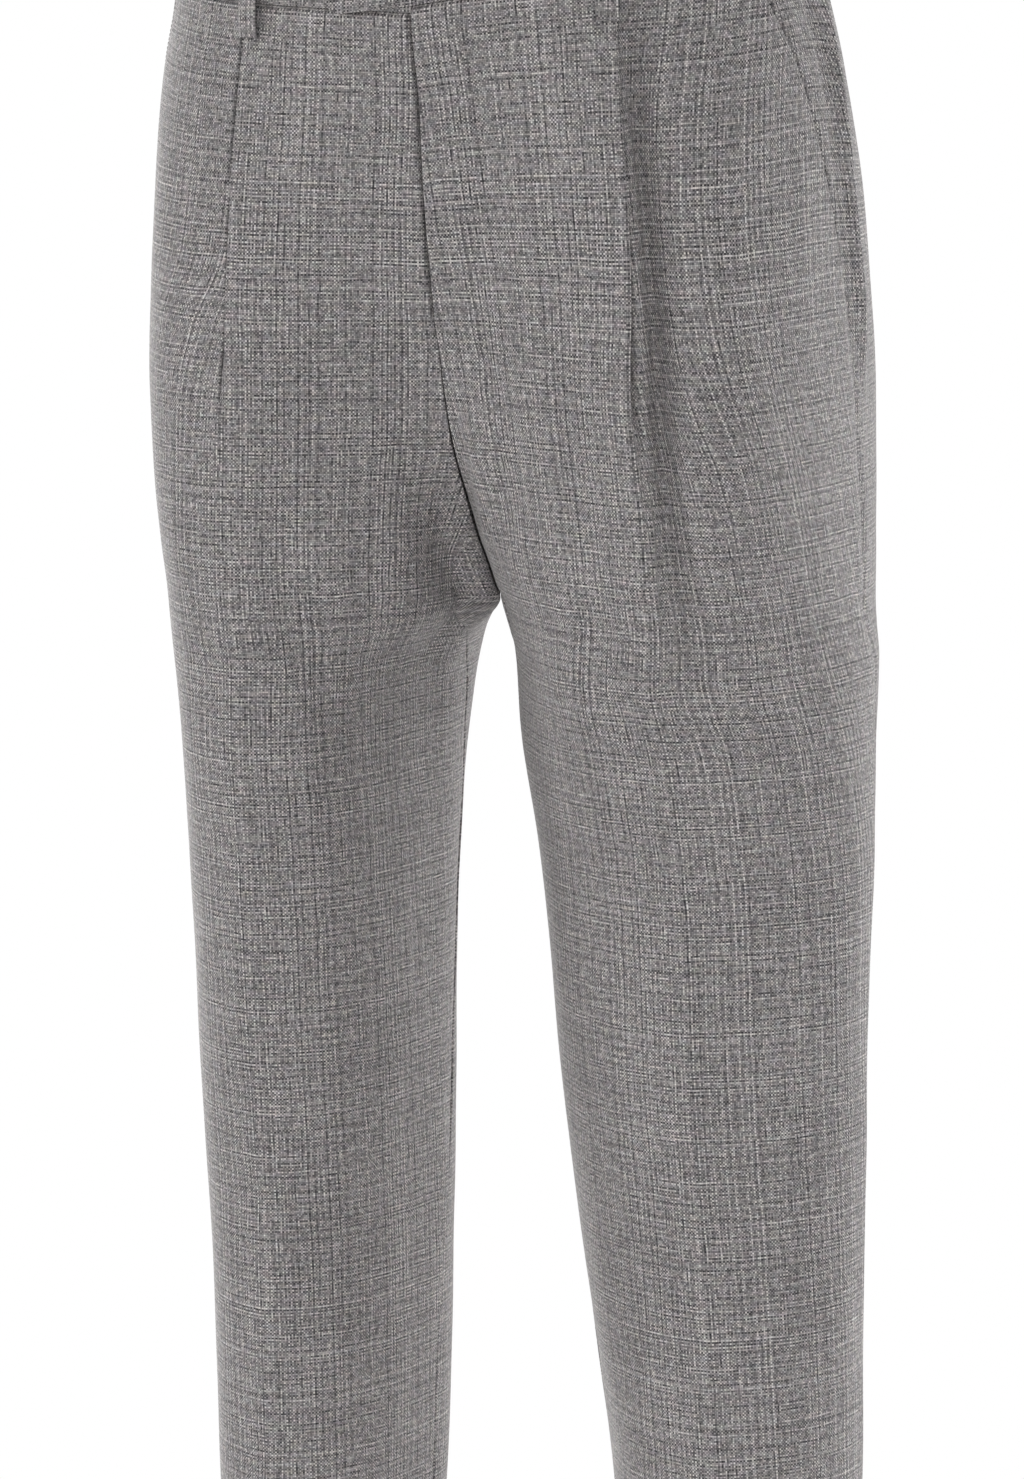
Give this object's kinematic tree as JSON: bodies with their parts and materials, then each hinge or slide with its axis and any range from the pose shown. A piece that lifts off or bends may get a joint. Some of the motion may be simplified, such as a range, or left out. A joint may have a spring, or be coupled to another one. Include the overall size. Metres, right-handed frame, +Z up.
{
  "type": "pleated dress trousers",
  "caption": "Worn pleated dress trousers in grey worsted: hollow waist and two straight tapering legs, lapped fly, slant pockets, waistband tab and belt loops.",
  "frame": {"origin": "middle of the waistband ring at half its height, where the wearer's waist holds the trousers", "axes": "+Z up to the waist, -Y out of the front, +X to the wearer's left"},
  "size_m": [0.3536, 0.2561, 1.1253],
  "materials": {
    "worsted": "grey melange worsted with a soft lustre",
    "horn": "dark horn-like button"
  },
  "bodies": {
    "root": {"front_left": "worsted", "front_right": "worsted", "back_left": "worsted", "back_right": "worsted", "pocket_facing_left": "worsted", "pocket_facing_right": "worsted", "waistband_left": "worsted", "waistband_right": "worsted", "belt_loop_front_left": "worsted", "belt_loop_front_right": "worsted", "belt_loop_side_left": "worsted", "belt_loop_side_right": "worsted", "belt_loop_back_left": "worsted", "belt_loop_back_right": "worsted", "belt_loop_centre": "worsted", "tab_button": "horn"}
  },
  "joints": []
}
